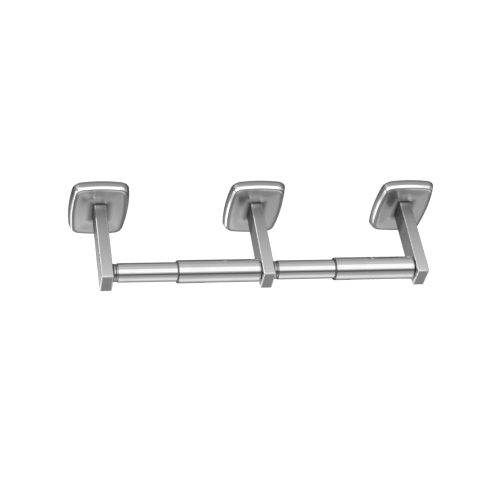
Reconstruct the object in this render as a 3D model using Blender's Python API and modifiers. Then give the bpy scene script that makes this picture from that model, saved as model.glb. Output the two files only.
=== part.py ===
# Double toilet roll dispenser for a wall: three flanged posts carry two telescoping
# sprung rollers. Metres, +Z up. The wall is the plane y = 0, the object stands out
# towards -Y, and the origin is on the wall behind the middle post.

import math

import bmesh
import bpy
from mathutils import Matrix, Vector

# Fit between pieces that touch
CLEARANCE = 0.0003

# Posts
POST_PITCH = 0.1413
POST_WIDTH = 0.0105
POST_HEIGHT = 0.0215
POST_REACH = 0.0860
POST_EDGE = 0.0010
POST_EDGE_STEPS = 3

# Flanges, drawn from sheet, with bulged sides, a sloping band between the wall and the
# rim, and a face that is dished behind the rim
FLANGE_WIDTH = 0.0533
FLANGE_HEIGHT = 0.0683
FLANGE_DEPTH = 0.0072
FLANGE_DRAFT = math.radians(18.5)
FLANGE_BULGE = 0.0033
FLANGE_CORNER = 0.0097
FLANGE_BAND = 0.0022
BAND_DRAFT = math.radians(32.0)
FLANGE_EDGE = 0.0015
FLANGE_SHEET = 0.0008
FACE_DISH = 0.0013
FACE_SWELL = 0.0008
DISH_SHARE = 0.72
SEAT_MARGIN = 0.0006
SEAT_BULGE = 0.00015
SEAT_CORNER = 0.0012
OUTLINE_STEPS = 3
EDGE_STEPS = 3
FACE_STEPS = 6

# Wall plates, bent from sheet, with a lip along the top and the bottom
WALL_PLATE_SHEET = 0.0012
WALL_PLATE_WIDTH = 0.0380
WALL_PLATE_HEIGHT = 0.0400
WALL_PLATE_BEND = 0.0008
LIP_REACH = 0.0024
LIP_ANGLE = math.radians(45.0)
WALL_HOLE_SPACING = 0.0280
WALL_HOLE_RADIUS = 0.0025

# Anchor plates, bent from sheet, which hook over the wall plate and carry the post
ANCHOR_SHEET = 0.0012
ANCHOR_WIDTH = 0.0190
ANCHOR_BEND = 0.0005
ANCHOR_DROP = 0.0020
TAB_BACK_GAP = 0.0004
PAD_MARGIN = 0.0012
PAD_SLOPE = 0.0008
BEND_STEPS = 4

# Screws
POST_SCREW_RADIUS = 0.0020
POST_SCREW_LENGTH = 0.0120
POST_SCREW_SPACING = 0.0104
POST_SCREW_HEAD_RADIUS = 0.0037
POST_SCREW_HEAD_HEIGHT = 0.0022
POST_SCREW_KEY = 0.0025
POST_SCREW_KEY_DEPTH = 0.0012
SET_SCREW_RADIUS = 0.0015
SET_SCREW_LENGTH = 0.0080
SET_SCREW_KEY = 0.0015
SET_SCREW_KEY_DEPTH = 0.0016
SCREW_CHAMFER = 0.0004
SCREW_STEPS = 12

# Rollers: a thin tube on the left slides in a thick tube on the right
ROLLER_SETBACK = 0.0118
THICK_RADIUS = 0.01015
THIN_RADIUS = 0.00845
TUBE_WALL = 0.0008
TUBE_EDGE = 0.0004
MOUTH_EDGE = 0.0013
THICK_GAP = 0.0020
THIN_GAP = 0.0045
MOUTH_GAP = 0.0560
TUBE_OVERLAP = 0.0300
PIN_RADIUS = 0.0034
PIN_DEPTH = 0.0037
PIN_ROUND = 0.0008
COLLAR_RADIUS = 0.0079
COLLAR_ROUND = 0.0012
SPIGOT_ROUND = 0.0005
PLUG_SHOULDER = 0.0007
PLUG_LENGTH = 0.0080
ROUND_STEPS = 3
ROLLER_STEPS = 24

# Spring between the thin tube's turned-out end and the thick tube's end plug
SPRING_WIRE = 0.0011
SPRING_CURLS = 9
SPRING_END_PITCH = 0.0017
CURL_POINTS = 9
SPRING_WIRE_RESOLUTION = 1

SOCKET_STEPS = 20
HOLE_STEPS = 16
KEY_SIDES = 6
CUTTER_OVERRUN = 0.0010
MERGE = 0.00001
SMOOTH_ANGLE = math.radians(35)

# Sizes that follow from the ones above
SEAT_DEPTH = FLANGE_DEPTH - FACE_DISH + FACE_SWELL
POST_ROOT = SEAT_DEPTH + CLEARANCE
ANCHOR_FRONT = FLANGE_DEPTH - FACE_DISH - FLANGE_SHEET - CLEARANCE
ANCHOR_BACK = ANCHOR_FRONT - ANCHOR_SHEET
PAD_FRONT = SEAT_DEPTH - FLANGE_SHEET - CLEARANCE
PAD_BACK = PAD_FRONT - ANCHOR_SHEET
LIP_RISE = LIP_REACH * math.tan(LIP_ANGLE)
LIP_TIP = WALL_PLATE_HEIGHT / 2 + LIP_RISE
SET_SCREW_DEPTH = (ANCHOR_FRONT + TAB_BACK_GAP) / 2
THICK_BORE = THICK_RADIUS - TUBE_WALL
THIN_BORE = THIN_RADIUS - TUBE_WALL
ROLLER_REACH = POST_REACH - ROLLER_SETBACK
BAY = POST_PITCH - POST_WIDTH
STATIONS = {"left": -POST_PITCH, "middle": 0.0, "right": POST_PITCH}
SOCKET_SIDES = {"left": (1,), "middle": (-1, 1), "right": (-1,)}


def clear_scene():
    for old in list(bpy.data.objects):
        bpy.data.objects.remove(old, do_unlink=True)


def make_collection(name, hidden=False):
    group = bpy.data.collections.new(name)
    bpy.context.scene.collection.children.link(group)
    group.hide_render = hidden
    return group


def make_material(name, colour, roughness):
    material = bpy.data.materials.new(name)
    material.use_nodes = True
    shader = material.node_tree.nodes["Principled BSDF"]
    shader.inputs["Base Color"].default_value = (*colour, 1.0)
    shader.inputs["Metallic"].default_value = 1.0
    shader.inputs["Roughness"].default_value = roughness
    material.diffuse_color = (*colour, 1.0)
    return material


def add_object(name, data, material=None, location=(0, 0, 0), rotation=(0, 0, 0)):
    piece = bpy.data.objects.new(name, data)
    parts.objects.link(piece)
    piece.location = location
    piece.rotation_euler = rotation
    if material:
        data.materials.append(material)
    return piece


def mesh_from(bm, name, smooth_angle=None):
    mesh = bpy.data.meshes.new(name)
    bm.to_mesh(mesh)
    bm.free()
    if smooth_angle:
        mesh.shade_smooth()
        mesh.set_sharp_from_angle(angle=smooth_angle)
    return mesh


def smooth_step(share):
    """0 to 1 along half a cosine wave."""
    share = min(max(share, 0.0), 1.0)
    return (1 - math.cos(math.pi * share)) / 2


def round_corners(points, radii, steps, closed=False):
    """Points (a, b) with each corner of the given radius replaced by an arc."""
    result = []
    count = len(points)
    for i, radius in enumerate(radii):
        here = Vector(points[i])
        at_end = not closed and i in (0, count - 1)
        if at_end or radius <= 0:
            result.append(tuple(here))
            continue
        before = (Vector(points[i - 1]) - here).normalized()
        after = (Vector(points[(i + 1) % count]) - here).normalized()
        half_angle = before.angle(after) / 2
        reach = radius / math.tan(half_angle)
        centre = here + (before + after).normalized() * (radius / math.sin(half_angle))
        start = here + before * reach - centre
        end = here + after * reach - centre
        for k in range(steps + 1):
            spoke = start.normalized().slerp(end.normalized(), k / steps)
            result.append(tuple(centre + spoke * radius))
    return result


def turned(name, profile, material, steps, location, rotation, closed=False):
    """Turn a profile of (radius, height) points, given from its top down the outside."""
    mesh = bpy.data.meshes.new(name)
    points = [(radius, 0.0, height) for radius, height in profile]
    edges = [(i, i + 1) for i in range(len(points) - 1)]
    if closed:
        edges.append((len(points) - 1, 0))
    mesh.from_pydata(points, edges, [])
    piece = add_object(name, mesh, material, location, rotation)
    screw = piece.modifiers.new("turn", "SCREW")
    screw.axis = "Z"
    screw.steps = steps
    screw.render_steps = steps
    screw.use_merge_vertices = True
    screw.merge_threshold = MERGE
    screw.use_smooth_shade = True
    return piece


def add_cylinder(bm, start, end, radius, sides):
    """Put a closed cylinder into a bmesh, from start to end."""
    start, end = Vector(start), Vector(end)
    turn = Vector((0, 0, 1)).rotation_difference(end - start).to_matrix().to_4x4()
    bmesh.ops.create_cone(
        bm,
        cap_ends=True,
        segments=sides,
        radius1=radius,
        radius2=radius,
        depth=(end - start).length,
        matrix=Matrix.Translation((start + end) / 2) @ turn,
    )


def cut(target, name, cylinders, trim=None):
    """Cut (start, end, radius, sides) cylinders out of a piece, and what lies in the
    box of the size given by trim, which stands on the back of the wall's plane."""
    bm = bmesh.new()
    for start, end, radius, sides in cylinders:
        add_cylinder(bm, start, end, radius, sides)
    if trim:
        place = Matrix.Translation((0, trim[1] / 2, 0)) @ Matrix.Diagonal((*trim, 1.0))
        bmesh.ops.create_cube(bm, size=1.0, matrix=place)
    cutter = bpy.data.objects.new(name, mesh_from(bm, name))
    cutters.objects.link(cutter)
    cutter.location = target.location
    cutter.rotation_euler = target.rotation_euler
    cutter.hide_render = True
    cutter.display_type = "WIRE"
    boolean = target.modifiers.new(name, "BOOLEAN")
    boolean.operation = "DIFFERENCE"
    boolean.solver = "EXACT"
    boolean.object = cutter


def bent_sheet(name, path, width, sheet, material, location, emboss=None):
    """Sheet bent along a path of (y, z) points, with its thickness away from the wall."""
    bm = bmesh.new()
    rows = [[bm.verts.new((side * width / 2, y, z)) for side in (-1, 1)] for y, z in path]
    for low, high in zip(rows, rows[1:]):
        bm.faces.new((low[0], high[0], high[1], low[1]))
    if emboss:
        emboss(bm)
    piece = add_object(name, mesh_from(bm, name, SMOOTH_ANGLE), material, location)
    shell = piece.modifiers.new("sheet", "SOLIDIFY")
    shell.thickness = sheet
    shell.offset = -1.0
    shell.use_even_offset = True
    return piece


# The outline of the flange

def bulged_outline(half_width, half_height, bulge, corner, steps):
    """Loop of (x, z) points: four sides that are flat arcs, joined by round corners."""
    side = (half_height**2 + bulge**2) / (2 * bulge)
    top = (half_width**2 + bulge**2) / (2 * bulge)
    side_centre = Vector((half_width - side, 0))
    top_centre = Vector((0, half_height - top))
    apart = top_centre - side_centre
    reach = ((side - corner) ** 2 - (top - corner) ** 2 + apart.length_squared) / (2 * apart.length)
    rise = math.sqrt((side - corner) ** 2 - reach**2)
    along = apart.normalized()
    across = Vector((-along.y, along.x))
    corner_centre = side_centre + along * reach + across * rise
    side_end = math.atan2(*reversed(corner_centre - side_centre))
    top_start = math.atan2(*reversed(corner_centre - top_centre))
    arcs = (
        (side_centre, side, 0.0, side_end),
        (corner_centre, corner, side_end, top_start),
        (top_centre, top, top_start, math.pi / 2),
    )
    quarter = []
    for centre, radius, first, last in arcs:
        for k in range(steps):
            angle = first + (last - first) * k / steps
            quarter.append(centre + radius * Vector((math.cos(angle), math.sin(angle))))
    quarter.append(Vector((0, half_height)))
    upper = quarter + [Vector((-p.x, p.y)) for p in reversed(quarter[:-1])]
    return upper + [Vector((p.x, -p.y)) for p in reversed(upper[1:-1])]


def inset_outline(inset):
    """The flange's outline, drawn in from the one that stands on the wall."""
    return bulged_outline(
        FLANGE_WIDTH / 2 - inset,
        FLANGE_HEIGHT / 2 - inset,
        FLANGE_BULGE,
        FLANGE_CORNER - inset,
        OUTLINE_STEPS,
    )


def seat_outline():
    """The flat that carries the post, with as many points as the flange's outline."""
    half_width = POST_WIDTH / 2 + SEAT_MARGIN
    half_height = POST_HEIGHT / 2 + SEAT_MARGIN
    return bulged_outline(half_width, half_height, SEAT_BULGE, SEAT_CORNER, OUTLINE_STEPS)


def flange_sections():
    """Loops of (x, z) points with their depth, from behind the wall's plane, where the
    sheet is trimmed, to the post's seat."""
    spare = FLANGE_SHEET
    sections = [(inset_outline(-spare * math.tan(FLANGE_DRAFT)), -spare)]
    edge_centre = FLANGE_DEPTH - FLANGE_EDGE
    band_foot = edge_centre + FLANGE_EDGE * math.sin(BAND_DRAFT) - FLANGE_BAND * math.cos(BAND_DRAFT)
    wall_inset = band_foot * math.tan(FLANGE_DRAFT)
    sections.append((inset_outline(wall_inset), band_foot))
    rim_inset = wall_inset + FLANGE_BAND * math.sin(BAND_DRAFT) + FLANGE_EDGE * math.cos(BAND_DRAFT)
    for k in range(EDGE_STEPS + 1):
        angle = BAND_DRAFT + (math.pi / 2 - BAND_DRAFT) * k / EDGE_STEPS
        inset = rim_inset - FLANGE_EDGE * math.cos(angle)
        sections.append((inset_outline(inset), edge_centre + FLANGE_EDGE * math.sin(angle)))
    rim, seat = inset_outline(rim_inset), seat_outline()
    for k in range(1, FACE_STEPS + 1):
        share = k / FACE_STEPS
        depth = FLANGE_DEPTH - FACE_DISH * smooth_step(share / DISH_SHARE)
        depth += FACE_SWELL * smooth_step((share - DISH_SHARE) / (1 - DISH_SHARE))
        sections.append(([a.lerp(b, share) for a, b in zip(rim, seat)], depth))
    return sections


def post_screw_heights():
    return (("upper", POST_SCREW_SPACING / 2), ("lower", -POST_SCREW_SPACING / 2))


def make_flange(station, x):
    bm = bmesh.new()
    rows = [[bm.verts.new((p.x, -depth, p.y)) for p in loop] for loop, depth in flange_sections()]
    for outer, inner in zip(rows, rows[1:]):
        for i in range(len(outer)):
            j = (i + 1) % len(outer)
            bm.faces.new((outer[i], outer[j], inner[j], inner[i]))
    bm.faces.new(rows[-1])
    mesh = mesh_from(bm, station + "_flange", SMOOTH_ANGLE)
    flange = add_object(station + "_flange", mesh, satin_steel, (x, 0, 0))
    shell = flange.modifiers.new("sheet", "SOLIDIFY")
    shell.thickness = FLANGE_SHEET
    shell.offset = -1.0
    shell.use_even_offset = True
    screw_hole = POST_SCREW_RADIUS + CLEARANCE
    holes = [
        ((0, -PAD_FRONT, z), (0, -POST_ROOT - CUTTER_OVERRUN, z), screw_hole, HOLE_STEPS)
        for _, z in post_screw_heights()
    ]
    wall_inside = (FLANGE_SHEET / math.cos(FLANGE_DRAFT)) + FLANGE_DEPTH * math.tan(FLANGE_DRAFT)
    key_top = -FLANGE_HEIGHT / 2 + wall_inside
    top = (0, -SET_SCREW_DEPTH, key_top)
    bottom = (0, -SET_SCREW_DEPTH, -FLANGE_HEIGHT / 2 - CUTTER_OVERRUN)
    holes.append((top, bottom, SET_SCREW_RADIUS + CLEARANCE, HOLE_STEPS))
    trim = (FLANGE_WIDTH + FLANGE_DEPTH, FLANGE_DEPTH, FLANGE_HEIGHT + FLANGE_DEPTH)
    cut(flange, station + "_flange_holes", holes, trim)


def make_wall_plate(station, x):
    """The plate that is screwed to the wall, with a lip that leans out at each end."""
    half = WALL_PLATE_HEIGHT / 2
    corners = [(-LIP_REACH, -LIP_TIP), (0, -half), (0, half), (-LIP_REACH, LIP_TIP)]
    bends = (0, WALL_PLATE_BEND, WALL_PLATE_BEND, 0)
    path = round_corners(corners, bends, BEND_STEPS)
    name = station + "_wall_plate"
    plate = bent_sheet(name, path, WALL_PLATE_WIDTH, WALL_PLATE_SHEET, zinc_steel, (x, 0, 0))
    holes = []
    for side in (-1, 1):
        across = side * WALL_HOLE_SPACING / 2
        start = (across, CUTTER_OVERRUN, 0)
        end = (across, -WALL_PLATE_SHEET - CUTTER_OVERRUN, 0)
        holes.append((start, end, WALL_HOLE_RADIUS, HOLE_STEPS))
    cut(plate, name + "_holes", holes)


def raise_pad(bm):
    """Push the pad under the post forward, with sloped sides, from the anchor's flat."""
    flat = max(bm.faces, key=lambda face: face.calc_area())
    half_width = POST_WIDTH / 2 + PAD_MARGIN
    half_height = POST_HEIGHT / 2 + PAD_MARGIN
    for grow, depth in ((PAD_SLOPE, ANCHOR_BACK), (0.0, PAD_BACK)):
        bmesh.ops.inset_region(bm, faces=[flat], thickness=PAD_SLOPE / 2, use_even_offset=True)
        for vert in flat.verts:
            vert.co.x = math.copysign(half_width + grow, vert.co.x)
            vert.co.z = math.copysign(half_height + grow, vert.co.z)
            vert.co.y = -depth


def make_anchor_plate(station, x):
    """The plate behind the flange: a top tab hooks over the wall plate's lip, and the
    bottom tab holds the set screw."""
    hook_gap = CLEARANCE / math.cos(LIP_ANGLE)
    fold = WALL_PLATE_HEIGHT / 2 + ANCHOR_BACK * math.tan(LIP_ANGLE) + hook_gap
    hook_end = TAB_BACK_GAP + ANCHOR_SHEET * math.cos(LIP_ANGLE)
    hook_rise = (ANCHOR_BACK - hook_end) * math.tan(LIP_ANGLE)
    floor = -LIP_TIP - ANCHOR_DROP
    corners = [
        (-TAB_BACK_GAP, floor),
        (-ANCHOR_BACK, floor),
        (-ANCHOR_BACK, fold),
        (-hook_end, fold - hook_rise),
    ]
    path = round_corners(corners, (0, ANCHOR_BEND, ANCHOR_BEND, 0), BEND_STEPS)
    name = station + "_anchor_plate"
    plate = bent_sheet(name, path, ANCHOR_WIDTH, ANCHOR_SHEET, zinc_steel, (x, 0, 0), raise_pad)
    screw_hole = POST_SCREW_RADIUS + CLEARANCE
    pad_back, pad_front = CUTTER_OVERRUN - PAD_BACK, -CUTTER_OVERRUN - PAD_FRONT
    holes = [
        ((0, pad_back, z), (0, pad_front, z), screw_hole, HOLE_STEPS)
        for _, z in post_screw_heights()
    ]
    thread = SET_SCREW_RADIUS + CLEARANCE
    top = (0, -SET_SCREW_DEPTH, floor + ANCHOR_DROP / 2)
    bottom = (0, -SET_SCREW_DEPTH, floor - ANCHOR_SHEET - CUTTER_OVERRUN)
    holes.append((top, bottom, thread, HOLE_STEPS))
    relief = math.hypot(thread, ANCHOR_DROP / 2)
    relief_back = (0, CUTTER_OVERRUN - ANCHOR_BACK, floor + ANCHOR_DROP / 2)
    relief_front = (0, -CUTTER_OVERRUN - ANCHOR_FRONT, floor + ANCHOR_DROP / 2)
    cut(plate, name + "_relief", [(relief_back, relief_front, relief, HOLE_STEPS)])
    cut(plate, name + "_holes", holes)


def make_post(station, x):
    """A solid bar with softened edges, tapped at its root and bored for the roller pins."""
    bm = bmesh.new()
    length = POST_REACH - POST_ROOT
    size = Matrix.Diagonal((POST_WIDTH, length, POST_HEIGHT, 1.0))
    place = Matrix.Translation((0, -POST_ROOT - length / 2, 0))
    bmesh.ops.create_cube(bm, size=1.0, matrix=place @ size)
    root = [e for e in bm.edges if all(abs(v.co.y + POST_ROOT) < MERGE for v in e.verts)]
    soft = [e for e in bm.edges if e not in root]
    bmesh.ops.bevel(
        bm, geom=soft, offset=POST_EDGE, segments=POST_EDGE_STEPS, profile=0.5, affect="EDGES"
    )
    mesh = mesh_from(bm, station + "_post", SMOOTH_ANGLE)
    post = add_object(station + "_post", mesh, satin_steel, (x, 0, 0))
    holes = []
    socket = PIN_RADIUS + CLEARANCE
    floor = POST_WIDTH / 2 - PIN_DEPTH - CLEARANCE
    for side in SOCKET_SIDES[station]:
        start = (side * floor, -ROLLER_REACH, 0)
        end = (side * (POST_WIDTH / 2 + CUTTER_OVERRUN), -ROLLER_REACH, 0)
        holes.append((start, end, socket, SOCKET_STEPS))
    screw_end = PAD_BACK - CLEARANCE + POST_SCREW_LENGTH + CUTTER_OVERRUN
    for _, z in post_screw_heights():
        start = (0, -POST_ROOT + CUTTER_OVERRUN, z)
        holes.append((start, (0, -screw_end, z), POST_SCREW_RADIUS + CLEARANCE, HOLE_STEPS))
    cut(post, station + "_post_holes", holes)


def make_post_screw(name, x, z):
    """Pan-head screw that enters the post from behind. Its head is at the local top."""
    head, shank = POST_SCREW_HEAD_RADIUS, POST_SCREW_RADIUS
    corners = [
        (0, POST_SCREW_HEAD_HEIGHT),
        (head, POST_SCREW_HEAD_HEIGHT),
        (head, 0),
        (shank, 0),
        (shank, -POST_SCREW_LENGTH),
        (0, -POST_SCREW_LENGTH),
    ]
    crown = min(POST_SCREW_HEAD_HEIGHT, head) / 2
    profile = round_corners(corners, (0, crown, 0, 0, SCREW_CHAMFER, 0), ROUND_STEPS)
    back = -(PAD_BACK - CLEARANCE)
    screw = turned(name, profile, zinc_steel, SCREW_STEPS, (x, back, z), (-math.pi / 2, 0, 0))
    floor = POST_SCREW_HEAD_HEIGHT - POST_SCREW_KEY_DEPTH
    top = POST_SCREW_HEAD_HEIGHT + CUTTER_OVERRUN
    key = POST_SCREW_KEY / 2 / math.cos(math.pi / KEY_SIDES)
    cut(screw, name + "_key", [((0, 0, floor), (0, 0, top), key, KEY_SIDES)])


def make_set_screw(station, x):
    """Headless screw that presses on the wall plate's lower lip. Its key is at the bottom."""
    radius = SET_SCREW_RADIUS
    corners = [(0, 0), (radius, 0), (radius, -SET_SCREW_LENGTH), (0, -SET_SCREW_LENGTH)]
    profile = round_corners(corners, (0, SCREW_CHAMFER, SCREW_CHAMFER, 0), 1)
    place = (x, -SET_SCREW_DEPTH, -LIP_TIP - CLEARANCE)
    name = station + "_set_screw"
    screw = turned(name, profile, dark_steel, SCREW_STEPS, place, (0, 0, 0))
    bottom = -SET_SCREW_LENGTH - CUTTER_OVERRUN
    key = SET_SCREW_KEY / 2 / math.cos(math.pi / KEY_SIDES)
    floor = -SET_SCREW_LENGTH + SET_SCREW_KEY_DEPTH
    cut(screw, name + "_key", [((0, 0, bottom), (0, 0, floor), key, KEY_SIDES)])


# The rollers. Heights along a roller's pieces are counted from the face of the post
# that they turn in.

def thick_tube_profile():
    """Tube with a mouth that is turned in to guide the thin tube."""
    mouth = BAY - MOUTH_GAP
    guide = THIN_RADIUS + CLEARANCE
    corners = [
        (guide, mouth),
        (THICK_RADIUS, mouth),
        (THICK_RADIUS, THICK_GAP),
        (THICK_BORE, THICK_GAP),
        (THICK_BORE, mouth - TUBE_WALL),
        (guide, mouth - TUBE_WALL),
    ]
    return round_corners(corners, (0, MOUTH_EDGE, TUBE_EDGE, 0, 0, 0), ROUND_STEPS, closed=True)


def thin_tube_profile():
    """Tube with an inner end that is turned out to run in the thick tube's bore."""
    end = MOUTH_GAP + TUBE_OVERLAP
    collar = THICK_BORE - CLEARANCE
    corners = [
        (THIN_BORE, end),
        (collar, end),
        (collar, end - TUBE_WALL),
        (THIN_RADIUS, end - TUBE_WALL),
        (THIN_RADIUS, THIN_GAP),
        (THIN_BORE, THIN_GAP),
    ]
    return round_corners(corners, (0, 0, 0, 0, TUBE_EDGE, 0), ROUND_STEPS, closed=True)


def plug_profile(bore, tube_gap):
    """End plug: a spigot in the tube, a collar outside it and a pin in the post."""
    spigot = bore - CLEARANCE
    shoulder = tube_gap - PLUG_SHOULDER
    corners = [
        (0, tube_gap + PLUG_LENGTH),
        (spigot, tube_gap + PLUG_LENGTH),
        (spigot, shoulder),
        (COLLAR_RADIUS, shoulder),
        (COLLAR_RADIUS, CLEARANCE),
        (PIN_RADIUS, CLEARANCE),
        (PIN_RADIUS, -PIN_DEPTH),
        (0, -PIN_DEPTH),
    ]
    collar_round = min(COLLAR_ROUND, (shoulder - CLEARANCE) / 2)
    shoulder_round = collar_round if COLLAR_RADIUS > spigot else 0
    rounds = (0, SPIGOT_ROUND, 0, shoulder_round, collar_round, 0, PIN_ROUND, 0)
    return round_corners(corners, rounds, ROUND_STEPS)


def spring_points(length, radius):
    """Points of a compression spring along +Z, with closer curls at its ends and a
    straight end one wire thick against each seat."""
    wound = length - 2 * SPRING_WIRE
    open_pitch = (wound - 2 * SPRING_END_PITCH) / (SPRING_CURLS - 2)
    points = [Vector((radius, 0, 0))]
    for k in range(SPRING_CURLS * CURL_POINTS + 1):
        curl = k / CURL_POINTS
        height = SPRING_WIRE + SPRING_END_PITCH * min(curl, 1)
        height += open_pitch * min(max(curl - 1, 0), SPRING_CURLS - 2)
        height += SPRING_END_PITCH * max(curl - (SPRING_CURLS - 1), 0)
        angle = 2 * math.pi * curl
        points.append(Vector((radius * math.cos(angle), radius * math.sin(angle), height)))
    last = points[-1]
    points.append(Vector((last.x, last.y, length)))
    return points


def least_gap(points):
    """Least clear distance between turns of the wire that aren't neighbours along it."""
    apart = CURL_POINTS // 2
    gap = math.inf
    for i, here in enumerate(points):
        for there in points[i + apart:]:
            gap = min(gap, (here - there).length)
    return gap - SPRING_WIRE


def make_spring(side, parent, left_face):
    """The coil that pushes the two tubes apart."""
    start = MOUTH_GAP + TUBE_OVERLAP + CLEARANCE
    end = BAY - THICK_GAP - PLUG_LENGTH - CLEARANCE
    radius = (THIN_BORE + THICK_BORE - CLEARANCE) / 2
    points = spring_points(end - start, radius)
    print(side, "spring: least gap between curls", round(least_gap(points) * 1000, 2), "mm")
    curve = bpy.data.curves.new(side + "_roller_spring", "CURVE")
    curve.dimensions = "3D"
    curve.bevel_depth = SPRING_WIRE / 2
    curve.bevel_resolution = SPRING_WIRE_RESOLUTION
    curve.use_fill_caps = True
    line = curve.splines.new("POLY")
    line.points.add(len(points) - 1)
    for spot, point in zip(line.points, points):
        spot.co = (*point, 1.0)
    place = (left_face + start, -ROLLER_REACH, 0)
    spring = add_object(curve.name, curve, spring_steel, place, (0, math.pi / 2, 0))
    attach(spring, parent)


def attach(piece, parent):
    """Parent a piece and keep it where it is."""
    bpy.context.view_layer.update()
    piece.parent = parent
    piece.matrix_parent_inverse = parent.matrix_world.inverted()


def add_pivot(name, location):
    pivot = bpy.data.objects.new(name, None)
    parts.objects.link(pivot)
    pivot.location = location
    pivot.empty_display_size = THICK_RADIUS
    return pivot


def make_roller(side, left_post, right_post):
    left_face = left_post + POST_WIDTH / 2
    right_face = right_post - POST_WIDTH / 2
    from_left, from_right = (0, math.pi / 2, 0), (0, -math.pi / 2, 0)
    left_place = (left_face, -ROLLER_REACH, 0)
    right_place = (right_face, -ROLLER_REACH, 0)
    spin = add_pivot(side + "_roller_spin", right_place)
    slide = add_pivot(side + "_roller_slide", left_place)
    attach(slide, spin)
    name = side + "_roller"
    thick = turned(name + "_thick_tube", thick_tube_profile(), chrome, ROLLER_STEPS,
                   right_place, from_right, closed=True)
    thick_plug = turned(name + "_thick_end_plug", plug_profile(THICK_BORE, THICK_GAP), chrome,
                        ROLLER_STEPS, right_place, from_right)
    thin = turned(name + "_thin_tube", thin_tube_profile(), chrome, ROLLER_STEPS,
                  left_place, from_left, closed=True)
    thin_plug = turned(name + "_thin_end_plug", plug_profile(THIN_BORE, THIN_GAP), chrome,
                       ROLLER_STEPS, left_place, from_left)
    for piece, pivot in ((thick, spin), (thick_plug, spin), (thin, slide), (thin_plug, slide)):
        attach(piece, pivot)
    make_spring(side, spin, left_face)


def make_station(station, x):
    make_wall_plate(station, x)
    make_anchor_plate(station, x)
    make_flange(station, x)
    make_post(station, x)
    for place, z in post_screw_heights():
        make_post_screw(station + "_post_screw_" + place, x, z)
    make_set_screw(station, x)


clear_scene()
parts = make_collection("double_toilet_roll_dispenser")
cutters = make_collection("cutters", hidden=True)
satin_steel = make_material("satin_steel", (0.62, 0.62, 0.63), 0.28)
chrome = make_material("chrome", (0.78, 0.78, 0.79), 0.08)
zinc_steel = make_material("zinc_steel", (0.58, 0.59, 0.60), 0.40)
dark_steel = make_material("dark_steel", (0.20, 0.20, 0.21), 0.45)
spring_steel = make_material("spring_steel", (0.45, 0.45, 0.46), 0.35)

for station_name, station_x in STATIONS.items():
    make_station(station_name, station_x)
make_roller("left", STATIONS["left"], STATIONS["middle"])
make_roller("right", STATIONS["middle"], STATIONS["right"])
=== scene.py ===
# Looks of a double toilet roll dispenser: three flanged posts with two sprung rollers.
# Metres, +Z up. The wall is the plane y = 0, and the object stands out towards -Y.

import math

import bmesh
import bpy
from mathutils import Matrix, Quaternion, Vector


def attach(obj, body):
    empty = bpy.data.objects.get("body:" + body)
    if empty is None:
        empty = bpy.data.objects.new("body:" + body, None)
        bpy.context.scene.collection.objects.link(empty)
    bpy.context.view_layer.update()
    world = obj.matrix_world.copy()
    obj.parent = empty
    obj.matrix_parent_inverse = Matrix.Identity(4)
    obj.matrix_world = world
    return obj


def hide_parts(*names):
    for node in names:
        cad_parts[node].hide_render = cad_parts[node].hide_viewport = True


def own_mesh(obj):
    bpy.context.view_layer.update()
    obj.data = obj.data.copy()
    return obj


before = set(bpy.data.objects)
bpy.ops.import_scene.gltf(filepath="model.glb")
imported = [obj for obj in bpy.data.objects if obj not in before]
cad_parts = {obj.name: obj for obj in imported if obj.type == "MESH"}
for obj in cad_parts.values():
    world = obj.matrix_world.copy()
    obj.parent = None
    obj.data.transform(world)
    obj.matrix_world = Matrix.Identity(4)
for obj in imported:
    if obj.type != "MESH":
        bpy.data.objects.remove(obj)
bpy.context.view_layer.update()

# Sizes that the finished pieces share with the solids
CLEARANCE = 0.0003
POST_PITCH = 0.1413
POST_WIDTH = 0.0105
POST_HEIGHT = 0.0215
POST_REACH = 0.0860
POST_EDGE = 0.0010
FLANGE_WIDTH = 0.0533
FLANGE_HEIGHT = 0.0683
FLANGE_DEPTH = 0.0072
FLANGE_DRAFT = math.radians(18.5)
FLANGE_BULGE = 0.0033
FLANGE_CORNER = 0.0097
FLANGE_BAND = 0.0022
BAND_DRAFT = math.radians(32.0)
FLANGE_EDGE = 0.0015
FLANGE_SHEET = 0.0008
FACE_DISH = 0.0013
FACE_SWELL = 0.0008
DISH_SHARE = 0.72
SEAT_MARGIN = 0.0006
SEAT_BULGE = 0.00015
SEAT_CORNER = 0.0012
SEAT_DEPTH = FLANGE_DEPTH - FACE_DISH + FACE_SWELL
POST_ROOT = SEAT_DEPTH + CLEARANCE
POST_SCREW_RADIUS = 0.0020
POST_SCREW_DEPTH = 0.0180
POST_SCREW_SPACING = 0.0104
SET_SCREW_RADIUS = 0.0015
SET_SCREW_DEPTH = 0.0026
ROLLER_REACH = 0.0742
THICK_RADIUS = 0.01015
THIN_RADIUS = 0.00845
TUBE_WALL = 0.0008
TUBE_EDGE = 0.0004
MOUTH_EDGE = 0.0013
THICK_BORE = THICK_RADIUS - TUBE_WALL
THIN_BORE = THIN_RADIUS - TUBE_WALL
THICK_GAP = 0.0020
THIN_GAP = 0.0045
MOUTH_GAP = 0.0560
TUBE_OVERLAP = 0.0300
PIN_RADIUS = 0.0034
PIN_DEPTH = 0.0037
PIN_ROUND = 0.0008
COLLAR_RADIUS = 0.0079
COLLAR_ROUND = 0.0012
SPIGOT_ROUND = 0.0005
PLUG_SHOULDER = 0.0007
PLUG_LENGTH = 0.0080
SPRING_WIRE = 0.0011
SPRING_CURLS = 9
SPRING_END_PITCH = 0.0017
STATIONS = {"left": -POST_PITCH, "middle": 0.0, "right": POST_PITCH}
SOCKET_SIDES = {"left": (1,), "middle": (-1, 1), "right": (-1,)}

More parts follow.
